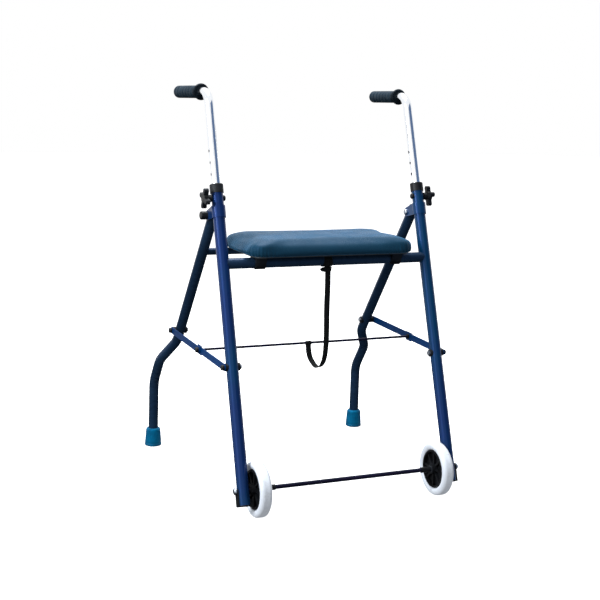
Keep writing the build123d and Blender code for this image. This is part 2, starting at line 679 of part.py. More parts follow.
# ---------------------------------------------------------------- seat
SEAT_MID_Y = AXLE_Y + (SEAT_FRONT + SEAT_REAR) / 2
SEAT_DEPTH = SEAT_REAR - SEAT_FRONT
BOARD_INSET = 8.0
seat_base = Plane(origin=(0, SEAT_MID_Y, SEAT_BOTTOM))

with BuildPart() as seat_board:
    with BuildSketch(seat_base):
        RectangleRounded(
            2 * (SEAT_HALF_WIDTH - BOARD_INSET), SEAT_DEPTH - 2 * BOARD_INSET,
            SEAT_CORNER_R - BOARD_INSET,
        )
    extrude(amount=BOARD_THICKNESS)
save(seat_board.part, "seat_board")

# The padded cover wraps the board's edge.
with BuildPart() as seat_cushion:
    with BuildSketch(seat_base):
        RectangleRounded(2 * SEAT_HALF_WIDTH, SEAT_DEPTH, SEAT_CORNER_R)
    extrude(amount=SEAT_TOP - SEAT_BOTTOM)
    fillet(seat_cushion.faces().sort_by(Axis.Z)[-1].edges(), 22.0)
    fillet(seat_cushion.faces().sort_by(Axis.Z)[0].edges(), 6.0)
    add(seat_board.part, mode=Mode.SUBTRACT)
save(seat_cushion.part, "seat_cushion")

# Saddle clips under the board that turn on the front rail.
SADDLE_INNER_R = RAIL_R + GAP
SADDLE_WIDTH = 26.0
SADDLE_X = 176.0
for side, sign in SIDES:
    with BuildPart() as saddle:
        with BuildSketch(side_plane(sign * SADDLE_X, RAIL_Y, RAIL_Z)):
            Circle(SADDLE_INNER_R + 3.2)
            with Locations((0, SADDLE_INNER_R / 2 + 4)):
                Rectangle(2 * SADDLE_INNER_R + 14, SADDLE_INNER_R + 4)
            Circle(SADDLE_INNER_R, mode=Mode.SUBTRACT)
            with Locations((0, -SADDLE_INNER_R - 4)):
                Rectangle(14, 12, mode=Mode.SUBTRACT)
        extrude(amount=SADDLE_WIDTH / 2, both=True)
        with BuildSketch(Plane.XY.offset(SEAT_BOTTOM)):
            with Locations((sign * SADDLE_X, RAIL_Y)):
                Rectangle(2 * SADDLE_WIDTH, 80)
        extrude(amount=40, mode=Mode.SUBTRACT)
    save(saddle.part, f"seat_saddle_{side}")

# Catch behind the rear rail: a pad under the board with a lip down the rail's rear side.
CATCH_GAP = 1.4
CATCH_X = 165.0
CATCH_WIDTH = 26.0
for side, sign in SIDES:
    with BuildPart() as catch:
        lip_y = REAR_RAIL_Y + REAR_RAIL_R + CATCH_GAP
        with BuildSketch(side_plane(sign * CATCH_X, 0, 0)):
            with BuildLine():
                Polyline(
                    (lip_y, SEAT_BOTTOM),
                    (lip_y, REAR_RAIL_Z - 4),
                    (lip_y + 3, REAR_RAIL_Z - 6),
                    (lip_y + 4.5, REAR_RAIL_Z - 4),
                    (lip_y + 4.5, SEAT_BOTTOM),
                    (lip_y, SEAT_BOTTOM),
                )
            make_face()
        extrude(amount=CATCH_WIDTH / 2, both=True)
    save(catch.part, f"seat_catch_{side}")

# ---------------------------------------------------------------- fold strap
# Flat webbing in the middle: round the front rail, down, and up again to the cross rod.
RAIL_WRAP_R = RAIL_R + GAP
with BuildPart() as strap_rail_loop:
    with BuildSketch(side_plane(0, RAIL_Y, RAIL_Z)):
        Circle(RAIL_WRAP_R + STRAP_THICKNESS)
        Circle(RAIL_WRAP_R, mode=Mode.SUBTRACT)
    extrude(amount=STRAP_WIDTH / 2, both=True)
save(strap_rail_loop.part, "strap_rail_loop")

with BuildPart() as strap_rod_loop:
    with BuildSketch(side_plane(0, JOINT_Y, JOINT_Z)):
        Circle(ROD_R + STRAP_THICKNESS)
        Circle(ROD_R, mode=Mode.SUBTRACT)
    extrude(amount=STRAP_WIDTH / 2, both=True)
save(strap_rod_loop.part, "strap_rod_loop")

STRAP_ROUTE = (
    (0, RAIL_Y - 3.0, RAIL_Z - RAIL_WRAP_R - STRAP_THICKNESS - 0.4),
    (0, RAIL_Y - 6.0, RAIL_Z - 60),
    (0, RAIL_Y - 4.0, RAIL_Z - 115),
    (0, RAIL_Y - 8.0, RAIL_Z - 170),
    (0, RAIL_Y - 7.0, RAIL_Z - 220),
    (0, RAIL_Y + 6.0, RAIL_Z - 253),
    (0, RAIL_Y + 36.0, RAIL_Z - 271),
    (0, RAIL_Y + 66.0, RAIL_Z - 264),
    (0, JOINT_Y - 4.0, JOINT_Z - ROD_R - STRAP_THICKNESS - 24),
    (0, JOINT_Y - 1.0, JOINT_Z - ROD_R - STRAP_THICKNESS - 0.6),
)


def corner_radii(route):
    """Arc radius at each corner: 0.45 of the shorter run over the tangent of half the turn."""
    radii = []
    for before, here, after in zip(route, route[1:], route[2:]):
        run_in = Vector(*here) - Vector(*before)
        run_out = Vector(*after) - Vector(*here)
        turn = run_in.get_angle(run_out)
        radii.append(0.45 * min(run_in.length, run_out.length) / tan(radians(turn / 2)))
    return radii


strap_radii = corner_radii(STRAP_ROUTE)
print("strap arc radii:", [round(radius, 1) for radius in strap_radii])
with BuildPart() as strap:
    with BuildLine() as strap_path:
        FilletPolyline(*STRAP_ROUTE, radius=strap_radii)
    with BuildSketch(Plane(origin=STRAP_ROUTE[0], x_dir=(1, 0, 0), z_dir=strap_path.line % 0)):
        Rectangle(STRAP_WIDTH, STRAP_THICKNESS)
    sweep(path=strap_path.line)
save(strap.part, "strap")
strap_length = sum(edge.length for edge in strap_path.edges())
strap_volume = strap_length * STRAP_WIDTH * STRAP_THICKNESS
print("strap length:", round(strap_length, 1))
print("strap volume:", round(strap.part.volume, 1), "of", round(strap_volume, 1))

# ---------------------------------------------------------------- joint axes, for the record
print("pivot", round(PIVOT_Y, 3), round(PIVOT_Z, 3))
print("front pivot", round(FRONT_PIVOT_Y, 3), round(FRONT_PIVOT_Z, 3))
print("rear pivot", round(REAR_PIVOT_Y, 3), round(REAR_PIVOT_Z, 3))
print("brace joint", round(JOINT_Y, 3), round(JOINT_Z, 3))
print("rail", round(RAIL_Y, 3), round(RAIL_Z, 3), "rear rail", round(REAR_RAIL_Y, 3))
print("axle", round(AXLE_Y, 3), WHEEL_R)
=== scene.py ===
import json
import math

import bmesh
import bpy
from mathutils import Matrix, Vector, noise


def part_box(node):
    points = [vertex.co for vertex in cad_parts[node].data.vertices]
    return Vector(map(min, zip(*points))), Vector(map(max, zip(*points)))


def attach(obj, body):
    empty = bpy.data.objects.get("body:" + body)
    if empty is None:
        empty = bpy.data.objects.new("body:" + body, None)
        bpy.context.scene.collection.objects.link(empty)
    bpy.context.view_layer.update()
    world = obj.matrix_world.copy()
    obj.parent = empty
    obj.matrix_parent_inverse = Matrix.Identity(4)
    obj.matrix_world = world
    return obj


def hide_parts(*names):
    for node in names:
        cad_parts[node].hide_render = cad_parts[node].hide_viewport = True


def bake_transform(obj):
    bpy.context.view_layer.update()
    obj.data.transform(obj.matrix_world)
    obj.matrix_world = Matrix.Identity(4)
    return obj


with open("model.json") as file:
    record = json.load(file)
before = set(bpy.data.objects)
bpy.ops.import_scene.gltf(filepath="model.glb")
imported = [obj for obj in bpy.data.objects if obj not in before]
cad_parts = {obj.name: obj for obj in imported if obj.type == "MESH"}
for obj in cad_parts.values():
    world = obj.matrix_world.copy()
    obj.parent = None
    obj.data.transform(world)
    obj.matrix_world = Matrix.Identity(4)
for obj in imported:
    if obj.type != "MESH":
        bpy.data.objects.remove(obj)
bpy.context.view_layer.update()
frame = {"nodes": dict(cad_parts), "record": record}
nodes = frame["nodes"]

# ------------------------------------------------------------------ places read from the frame
rail_low, rail_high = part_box("front_rail")
RAIL = (rail_low + rail_high) / 2
RAIL_R = (rail_high.z - rail_low.z) / 2
rod_low, rod_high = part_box("cross_rod")
ROD = (rod_low + rod_high) / 2
ROD_R = (rod_high.z - rod_low.z) / 2


# ------------------------------------------------------------------ camera and lights
# Lens and sensor are in millimetres, the three angles in degrees, the shift in sensor widths.
LENS = 71.94
SENSOR_WIDTH = 36.0
LENS_SHIFT = -0.0995
CAMERA_PLACE = (-1.19769, -2.65416, 0.96429)
CAMERA_TURN = 23.84
CAMERA_DOWN = 7.54
CAMERA_TILT = 1.78

# name, place, target, side in metres, power in watts
SOFT_BOXES = (
    ("key", (-2.9, -0.7, 1.9), (0, 0, 0.45), 1.4, 88),
    ("top", (-0.1, 0.6, 3.0), (0, 0, 0.5), 1.8, 125),
)
LIGHT_COLOR = (0.92, 0.96, 1.0)
SKY_COLOR = (0.95, 0.975, 1.0, 1)
SKY_STRENGTH = 0.4


def link(obj):
    bpy.context.scene.collection.objects.link(obj)
    return obj


def camera():
    """The camera stands where the photo was taken from, about as high as the grips."""
    data = bpy.data.cameras.new("camera")
    data.lens = LENS
    data.sensor_width = SENSOR_WIDTH
    data.shift_y = LENS_SHIFT
    cam = link(bpy.data.objects.new("camera", data))
    turn = math.radians(CAMERA_TURN)
    down = math.radians(CAMERA_DOWN)
    forward = Vector((math.sin(turn) * math.cos(down), math.cos(turn) * math.cos(down), -math.sin(down)))
    level = forward.to_track_quat("-Z", "Y").to_matrix().to_4x4()
    tilt = Matrix.Rotation(math.radians(CAMERA_TILT), 4, "Z")
    cam.matrix_world = Matrix.Translation(CAMERA_PLACE) @ level @ tilt
    bpy.context.scene.camera = cam


def soft_light(name, place, target, size, power):
    """A square soft box that looks at the target."""
    data = bpy.data.lights.new(name, "AREA")
    data.shape = "SQUARE"
    data.size = size
    data.energy = power
    data.color = LIGHT_COLOR
    lamp = link(bpy.data.objects.new(name, data))
    lamp.location = place
    lamp.rotation_mode = "QUATERNION"
    lamp.rotation_quaternion = (Vector(target) - Vector(place)).to_track_quat("-Z", "Y")


def flat_sheet(name, width, height, place, target, material):
    """A flat card that faces the target, for the studio only."""
    mesh = bpy.data.meshes.new(name)
    corners = [(-width / 2, -height / 2, 0), (width / 2, -height / 2, 0)]
    corners += [(width / 2, height / 2, 0), (-width / 2, height / 2, 0)]
    mesh.from_pydata(corners, [], [(0, 1, 2, 3)])
    card = link(bpy.data.objects.new(name, mesh))
    card.location = place
    card.rotation_mode = "QUATERNION"
    card.rotation_quaternion = (Vector(target) - Vector(place)).to_track_quat("Z", "Y")
    mesh.materials.append(material)
    return card


# ------------------------------------------------------------------ shader helpers
def srgb(red, green, blue):
    """Linear colour from display values of 0 to 255."""
    channels = (red / 255, green / 255, blue / 255)
    return (*[c / 12.92 if c <= 0.04045 else ((c + 0.055) / 1.055) ** 2.4 for c in channels], 1.0)


class Shader:
    """A Principled material whose colour, roughness and normal come from procedural nodes.

    Textures are placed in metres, so the scale of a noise or of cells counts its features per metre.
    """

    def __init__(self, name, **constants):
        self.material = bpy.data.materials.new(name)
        self.material.use_nodes = True
        self.tree = self.material.node_tree
        self.surface = self.tree.nodes["Principled BSDF"]
        for key, value in constants.items():
            self.surface.inputs[key.replace("_", " ")].default_value = value

    def add(self, kind, inputs=None, **settings):
        made = self.tree.nodes.new("ShaderNode" + kind)
        for key, value in settings.items():
            setattr(made, key, value)
        for key, value in (inputs or {}).items():
            if isinstance(value, bpy.types.NodeSocket):
                self.tree.links.new(value, made.inputs[key])
            else:
                made.inputs[key].default_value = value
        return made

    def drive(self, key, value):
        self.tree.links.new(value, self.surface.inputs[key])

    def place(self, scale=(1, 1, 1), turn=(0, 0, 0)):
        coordinates = self.add("TexCoord").outputs["Object"]
        inputs = {"Vector": coordinates, "Scale": scale, "Rotation": turn}
        return self.add("Mapping", inputs).outputs["Vector"]

    def noise(self, vector, scale, detail=3.0, rough=0.5, warp=0.0):
        inputs = {"Vector": vector, "Scale": scale, "Detail": detail}
        inputs.update({"Roughness": rough, "Distortion": warp})
        return self.add("TexNoise", inputs).outputs["Fac"]

    def cells(self, vector, scale, feature="F1"):
        made = self.add("TexVoronoi", {"Vector": vector, "Scale": scale}, feature=feature)
        return made.outputs["Distance"]

    def math(self, operation, a, b=0.0):
        return self.add("Math", {0: a, 1: b}, operation=operation).outputs[0]

    def fit(self, value, low, high, to_low=0.0, to_high=1.0):
        """Smooth step from to_low, where the value is low, to to_high, where it is high."""
        inputs = {"Value": value, "From Min": low, "From Max": high, "To Min": to_low, "To Max": to_high}
        return self.add("MapRange", inputs, interpolation_type="SMOOTHSTEP").outputs["Result"]

    def mix(self, factor, first, second):
        """Colour that goes from the first to the second as the factor goes from 0 to 1."""
        return self.add("Mix", {0: factor, 6: first, 7: second}, data_type="RGBA").outputs[2]

    def bump(self, height, strength, distance, normal=None):
        inputs = {"Height": height, "Strength": strength, "Distance": distance}
        if normal is not None:
            inputs["Normal"] = normal
        return self.add("Bump", inputs).outputs["Normal"]

    def edges(self, radius, low=0.02, high=0.2):
        """1 along convex and concave edges, 0 on the flat and on wide curves."""
        rounded = self.add("Bevel", {"Radius": radius}, samples=4).outputs["Normal"]
        true = self.add("NewGeometry").outputs["Normal"]
        dot = self.add("VectorMath", {0: rounded, 1: true}, operation="DOT_PRODUCT").outputs["Value"]
        return self.fit(self.math("SUBTRACT", 1.0, dot), low, high)


def paint(name, color, deep, worn, rough, coat, gloss, cast):
    """Stove enamel on steel tube: orange peel, faint handling marks, paler where edges are rubbed."""
    orange_peel = 0.018
    s = Shader(
        name,
        Coat_Weight=coat,
        Coat_Roughness=0.07,
        Coat_IOR=1.5,
        Specular_IOR_Level=gloss,
        Specular_Tint=cast,
    )
    spot = s.place()
    cloud = s.noise(spot, 6.0, 3.0, 0.5)
    tone = s.mix(s.fit(cloud, 0.35, 0.65), deep, color)
    hair = s.noise(s.place((420, 420, 26)), 1.0, 5.0, 0.65, 0.6)
    marks = s.math("MULTIPLY", s.fit(hair, 0.66, 0.74), s.fit(s.noise(spot, 17.0, 2.0), 0.52, 0.66))
    tone = s.mix(s.math("MULTIPLY", marks, 0.07), tone, worn)
    rubbed = s.math("MULTIPLY", s.edges(0.0009), s.fit(s.noise(spot, 130.0, 5.0, 0.7), 0.44, 0.62))
    tone = s.mix(s.math("MULTIPLY", rubbed, 0.4), tone, worn)
    s.drive("Base Color", tone)
    haze = s.fit(s.noise(spot, 60.0, 5.0, 0.6), 0.4, 0.75, rough, rough + 0.08)
    s.drive("Roughness", s.math("ADD", haze, s.math("MULTIPLY", marks, 0.25)))
    skin = s.bump(s.noise(spot, 720.0, 2.0, 0.5), orange_peel, 0.0006)
    s.drive("Normal", s.bump(hair, 0.012, 0.0003, skin))
    return s.material


def aluminium(name):
    """Polished and clear-lacquered aluminium tube with drawing lines along it, and painted shade in its
    holes and bore.
    """
    tube_lean = math.radians(18.3)
    s = Shader(name, Metallic=1.0, Specular_IOR_Level=0.5, Coat_Weight=0.25, Coat_Roughness=0.05)
    spot = s.place()
    lines = s.noise(s.place((900, 900, 9), turn=(tube_lean, 0, 0)), 1.0, 4.0, 0.6)
    cloud = s.noise(spot, 14.0, 4.0, 0.6)
    tone = s.mix(s.fit(cloud, 0.3, 0.7), srgb(236, 240, 246), srgb(248, 250, 253))
    rims = s.edges(0.0012, 0.05, 0.4)
    grime = s.math("MULTIPLY", rims, s.fit(s.noise(spot, 240.0, 4.0, 0.7), 0.4, 0.6))
    tone = s.mix(s.math("MULTIPLY", grime, 0.55), tone, srgb(96, 102, 112))
    tone = s.mix(s.fit(lines, 0.6, 0.8, 0.0, 0.12), tone, srgb(172, 180, 194))
    # Painted shade: where an occlusion test finds the surface hemmed in, in the holes and inside the tube,
    # the colour goes nearly black.
    light_reach = s.add("AmbientOcclusion", {"Distance": 0.012}, samples=6).outputs["AO"]
    s.drive("Base Color", s.mix(s.fit(light_reach, 0.1, 0.55), srgb(14, 15, 18), tone))
    streaks = s.math("ADD", lines, s.math("MULTIPLY", cloud, 0.4))
    s.drive("Roughness", s.fit(streaks, 0.5, 0.95, 0.1, 0.19))
    s.drive("Normal", s.bump(lines, 0.03, 0.0002))
    return s.material


def zinc(name):
    """Bright zinc plate: a fine crystal spangle, a cool cast and dull patches."""
    s = Shader(name, Metallic=1.0, Specular_IOR_Level=0.5)
    spot = s.place()
    spangle = s.cells(spot, 900.0)
    cloud = s.noise(spot, 160.0, 5.0, 0.65)
    tone = s.mix(s.fit(cloud, 0.35, 0.7), srgb(196, 202, 210), srgb(150, 156, 166))
    worn = s.math("MULTIPLY", s.edges(0.0005), 0.5)
    s.drive("Base Color", s.mix(worn, tone, srgb(232, 235, 240)))
    s.drive("Roughness", s.fit(s.math("ADD", spangle, cloud), 0.4, 1.3, 0.2, 0.42))
    s.drive("Normal", s.bump(spangle, 0.12, 0.0002))
    return s.material


def moulded(name, color, pale, rough, gloss):
    """Injection-moulded plastic: spark-eroded texture, paler rubbed edges and handling shine."""
    grain = 520.0
    depth = 0.12
    s = Shader(name, Specular_IOR_Level=gloss)
    spot = s.place()
    cloud = s.noise(spot, 30.0, 5.0, 0.6)
    pits = s.noise(spot, grain, 3.0, 0.65)
    tone = s.mix(s.fit(cloud, 0.35, 0.7, 0.0, 0.35), color, pale)
    rubbed = s.math("MULTIPLY", s.edges(0.0008), s.fit(s.noise(spot, 210.0, 4.0, 0.7), 0.38, 0.62))
    s.drive("Base Color", s.mix(s.math("MULTIPLY", rubbed, 0.3), tone, pale))
    haze = s.fit(cloud, 0.3, 0.7, rough, rough + 0.16)
    s.drive("Roughness", s.math("SUBTRACT", haze, s.math("MULTIPLY", rubbed, 0.15)))
    fine = s.bump(pits, depth, 0.0004)
    s.drive("Normal", s.bump(s.cells(spot, grain * 0.55), depth * 0.5, 0.0003, fine))
    return s.material


def tyre_rubber(name):
    """Pale grey-white tyre: faint mottling, fine stipple, a dusty running band and a greyer band on the
    inner edge, next to the hub.
    """
    tread_from = 0.0022
    tread_to = 0.0004
    inner_band_from = 0.705
    inner_band_to = 0.755
    s = Shader(name, Specular_IOR_Level=0.4, Sheen_Weight=0.08, Sheen_Roughness=0.5)
    spot = s.place()
    cloud = s.noise(spot, 55.0, 5.0, 0.62)
    tone = s.mix(s.fit(cloud, 0.3, 0.75), srgb(243, 248, 255), srgb(235, 241, 251))
    low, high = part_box("tyre_left")
    middle = (low + high) / 2
    axle = (0.0, middle.y, middle.z)
    shift = s.add("VectorMath", {0: spot, 1: axle}, operation="SUBTRACT").outputs["Vector"]
    flat = s.add("VectorMath", {0: shift, 1: (0, 1, 1)}, operation="MULTIPLY").outputs["Vector"]
    radius = s.add("VectorMath", {0: flat}, operation="LENGTH").outputs["Value"]
    outer = (high.z - low.z) / 2
    tread = s.fit(radius, outer - tread_from, outer - tread_to)
    scuff = s.fit(s.noise(spot, 150.0, 6.0, 0.7), 0.48, 0.66)
    dust = s.math("MULTIPLY", s.math("MULTIPLY", tread, scuff), 0.22)
    tone = s.mix(dust, tone, srgb(164, 166, 172))
    # The colour turns greyer towards the hub, over the tyre's inner edge.
    inner_band = s.math("SUBTRACT", 1.0, s.fit(radius, outer * inner_band_from, outer * inner_band_to))
    s.drive("Base Color", s.mix(s.math("MULTIPLY", inner_band, 0.35), tone, srgb(120, 132, 150)))
    s.drive("Roughness", s.fit(cloud, 0.3, 0.7, 0.42, 0.6))
    stipple = s.bump(s.noise(spot, 620.0, 3.0, 0.6), 0.14, 0.0004)
    s.drive("Normal", s.bump(s.cells(spot, 340.0), 0.06, 0.0004, stipple))
    return s.material


def foot_rubber(name):
    """Turquoise-blue rubber: paler bloom along the edges, and a greyer scuffed sole edge."""
    scuff_from = 0.002
    scuff_to = 0.011
    s = Shader(name, Specular_IOR_Level=0.24, Specular_Tint=srgb(90, 190, 255))
    spot = s.place()
    cloud = s.noise(spot, 70.0, 5.0, 0.6)
    tone = s.mix(s.fit(cloud, 0.35, 0.68), srgb(2, 100, 140), srgb(4, 82, 118))
    height = s.add("SeparateXYZ", {0: spot}).outputs["Z"]
    low_band = s.math("SUBTRACT", 1.0, s.fit(height, scuff_from, scuff_to))
    scuff = s.math("MULTIPLY", low_band, s.fit(s.noise(spot, 260.0, 6.0, 0.7), 0.4, 0.62))
    tone = s.mix(s.math("MULTIPLY", scuff, 0.6), tone, srgb(44, 78, 96))
    bloom = s.math("MULTIPLY", s.edges(0.0012), 0.16)
    s.drive("Base Color", s.mix(bloom, tone, srgb(56, 126, 154)))
    s.drive("Roughness", s.fit(cloud, 0.3, 0.7, 0.4, 0.58))
    s.drive("Normal", s.bump(s.noise(spot, 540.0, 4.0, 0.65), 0.2, 0.0004))
    return s.material


def grip_rubber(name):
    """Slate-grey handgrip, black at the guard, with a fine non-slip stipple."""
    guard_from = 0.017
    guard_to = 0.027
    s = Shader(name, Specular_IOR_Level=0.16, Specular_Tint=srgb(150, 190, 225))
    spot = s.place()
    cloud = s.noise(spot, 60.0, 5.0, 0.62)
    slate = s.mix(s.fit(cloud, 0.34, 0.7), srgb(24, 38, 48), srgb(17, 28, 37))
    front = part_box("grip_left")[0].y
    along = s.add("SeparateXYZ", {0: spot}).outputs["Y"]
    guard = s.math("SUBTRACT", 1.0, s.fit(along, front + guard_from, front + guard_to))
    tone = s.mix(guard, slate, srgb(7, 8, 10))
    palm = s.math("MULTIPLY", s.fit(s.noise(spot, 24.0, 3.0), 0.45, 0.65), 0.22)
    s.drive("Base Color", s.mix(palm, tone, srgb(44, 60, 71)))
    s.drive("Roughness", s.fit(cloud, 0.3, 0.7, 0.5, 0.66))
    stipple = s.bump(s.cells(spot, 1100.0), 0.06, 0.0003)
    s.drive("Normal", s.bump(s.noise(spot, 260.0, 4.0, 0.6), 0.03, 0.0004, stipple))
    return s.material


def vinyl(name):
    """Blue upholstery vinyl: pebbled leather grain, wandering tone and a soft sheen."""
    s = Shader(
        name,
        Specular_IOR_Level=0.2,
        Specular_Tint=srgb(110, 180, 255),
        Sheen_Weight=0.55,
        Sheen_Roughness=0.35,
        Sheen_Tint=srgb(85, 170, 235),
        Coat_Weight=0.03,
        Coat_Roughness=0.3,
    )
    spot = s.place()
    wide = s.noise(spot, 7.0, 3.0, 0.5)
    tone = s.mix(s.fit(wide, 0.35, 0.65), srgb(15, 48, 65), srgb(17, 54, 73))
    pebble = s.cells(spot, 640.0, "DISTANCE_TO_EDGE")
    crease = s.math("SUBTRACT", 1.0, s.fit(pebble, 0.0, 0.16))
    tone = s.mix(s.math("MULTIPLY", crease, 0.22), tone, srgb(5, 22, 38))
    s.drive("Base Color", tone)
    polish = s.noise(spot, 26.0, 4.0, 0.6)
    s.drive("Roughness", s.fit(polish, 0.3, 0.7, 0.36, 0.5))
    grain = s.bump(s.fit(pebble, 0.0, 0.2), 0.28, 0.0005)
    s.drive("Normal", s.bump(s.noise(spot, 90.0, 4.0, 0.55), 0.08, 0.001, grain))
    return s.material


def laminate(name):
    """Seat board: dark painted plywood with a faint long grain."""
    s = Shader(name, Specular_IOR_Level=0.45, Coat_Weight=0.1, Coat_Roughness=0.3)
    spot = s.place()
    grain = s.noise(s.place((14, 260, 420)), 1.0, 6.0, 0.6, 1.2)
    tone = s.mix(s.fit(grain, 0.35, 0.7), srgb(44, 56, 62), srgb(32, 43, 48))
    knots = s.fit(s.noise(spot, 20.0, 3.0, 0.5), 0.6, 0.7, 0.0, 0.25)
    s.drive("Base Color", s.mix(knots, tone, srgb(24, 33, 37)))
    s.drive("Roughness", s.fit(grain, 0.3, 0.7, 0.45, 0.6))
    s.drive("Normal", s.bump(grain, 0.15, 0.0004))
    return s.material


def webbing(name):
    """Black woven strap: cords that run along it, picks that cross them, and a dusty fuzz."""
    cord_width = 0.00145
    pick_length = 0.0026
    s = Shader(name, Specular_IOR_Level=0.12, Sheen_Weight=0.04, Sheen_Roughness=0.5)
    across_along = s.add("SeparateXYZ", {0: s.add("TexCoord").outputs["UV"]})
    across, along = across_along.outputs["X"], across_along.outputs["Y"]
    cord = s.math("ABSOLUTE", s.math("SINE", s.math("MULTIPLY", across, math.pi / cord_width)))
    column = s.math("FLOOR", s.math("MULTIPLY", across, 1 / cord_width))
    step = s.math("MULTIPLY", column, math.pi / 2)
    pick = s.math("SINE", s.math("ADD", s.math("MULTIPLY", along, 2 * math.pi / pick_length), step))
    weave = s.math("MULTIPLY", cord, s.fit(pick, -1.0, 1.0, 0.35, 1.0))
    spot = s.place()
    fuzz = s.noise(spot, 900.0, 4.0, 0.7)
    tone = s.mix(s.fit(weave, 0.1, 0.9), srgb(4, 5, 6), srgb(15, 18, 19))
    tone = s.mix(s.fit(s.noise(spot, 45.0, 4.0, 0.6), 0.45, 0.7, 0.0, 0.3), tone, srgb(24, 27, 30))
    s.drive("Base Color", tone)
    s.drive("Roughness", s.fit(fuzz, 0.3, 0.7, 0.62, 0.82))
    s.drive("Normal", s.bump(weave, 0.6, 0.0005, s.bump(fuzz, 0.2, 0.0003)))
    return s.material


# ------------------------------------------------------------------ studio
FLOOR_SIZE = 24
FLOOR_DROP = 0.0004
FLOOR_GLOW = 0.82
SHELL_RADIUS = 15
DARK_BELOW = -1.2
FADE_HEIGHT = 2.5

# Cards that show only in reflections: a dim one at the right draws the tubes' shaded edge, and a tall
# bright one at the left draws the stripe along the painted tubes.
# name, width, height, place, target, colour, strength
CARDS = (
    ("flag", 3.2, 3.2, (1.32, -1.51, 0.9), (0, 0, 0.7), srgb(92, 114, 148), 1.0),
    ("strip", 1.3, 3.0, (-2.6, -1.25, 1.3), (0, 0, 0.6), (0.8, 0.9, 1.0, 1), 3.0),
)


def floor_material():
    """Pale floor that glows enough to come out white in the picture."""
    white = (1, 1, 1, 1)
    s = Shader("studio_floor", Specular_IOR_Level=0.1, Emission_Color=white, Emission_Strength=FLOOR_GLOW)
    cloud = s.noise(s.place(), 1.5, 3.0)
    s.drive("Base Color", s.mix(cloud, (0.86, 0.86, 0.87, 1), (0.9, 0.9, 0.9, 1)))
    s.drive("Roughness", s.fit(cloud, 0.3, 0.7, 0.8, 0.9))
    return s.material


def glow(name, color, strength, dark_below=None):
    """Plain light; with dark_below it fades out from that height down over FADE_HEIGHT."""
    material = bpy.data.materials.new(name)
    material.use_nodes = True
    tree = material.node_tree
    tree.nodes.clear()
    emission = tree.nodes.new("ShaderNodeEmission")
    emission.inputs["Color"].default_value = color
    emission.inputs["Strength"].default_value = strength
    if dark_below is not None:
        coordinates = tree.nodes.new("ShaderNodeTexCoord")
        split = tree.nodes.new("ShaderNodeSeparateXYZ")
        fade = tree.nodes.new("ShaderNodeMapRange")
        fade.inputs["From Min"].default_value = dark_below - FADE_HEIGHT
        fade.inputs["From Max"].default_value = dark_below
        fade.inputs["To Max"].default_value = strength
        tree.links.new(coordinates.outputs["Object"], split.inputs[0])
        tree.links.new(split.outputs["Z"], fade.inputs["Value"])
        tree.links.new(fade.outputs["Result"], emission.inputs["Strength"])
    output = tree.nodes.new("ShaderNodeOutputMaterial")
    tree.links.new(emission.outputs[0], output.inputs["Surface"])
    return material


def hide_from(thing, *rays):
    """Make a thing invisible to these kinds of rays."""
    for kind in rays:
        setattr(thing, "visible_" + kind, False)


def studio():
    camera()
    bpy.context.scene.view_settings.view_transform = "Standard"
    for name, place, target, size, power in SOFT_BOXES:
        soft_light(name, place, target, size, power)
    world = bpy.data.worlds.new("studio")
    bpy.context.scene.world = world
    world.use_nodes = True
    sky = world.node_tree.nodes["Background"]
    sky.inputs["Color"].default_value = SKY_COLOR
    sky.inputs["Strength"].default_value = SKY_STRENGTH
    floor = flat_sheet("floor", FLOOR_SIZE, FLOOR_SIZE, (0, 0, -FLOOR_DROP), (0, 0, 1), floor_material())
    hide_from(floor, "glossy", "diffuse")
    for name, width, height, place, target, color, strength in CARDS:
        card = flat_sheet(name, width, height, place, target, glow(name, color, strength))
        hide_from(card, "camera", "diffuse", "transmission", "shadow", "volume_scatter")
    # A white shell behind everything, seen by the camera and in the tubes' reflections.
    mesh = bpy.data.meshes.new("backdrop")
    shell = bmesh.new()
    bmesh.ops.create_icosphere(shell, subdivisions=4, radius=SHELL_RADIUS)
    shell.to_mesh(mesh)
    shell.free()
    backdrop = link(bpy.data.objects.new("backdrop", mesh))
    mesh.materials.append(glow("backdrop", (1, 1, 1, 1), 1.0, dark_below=DARK_BELOW))
    hide_from(backdrop, "diffuse", "transmission", "shadow", "volume_scatter")


studio()

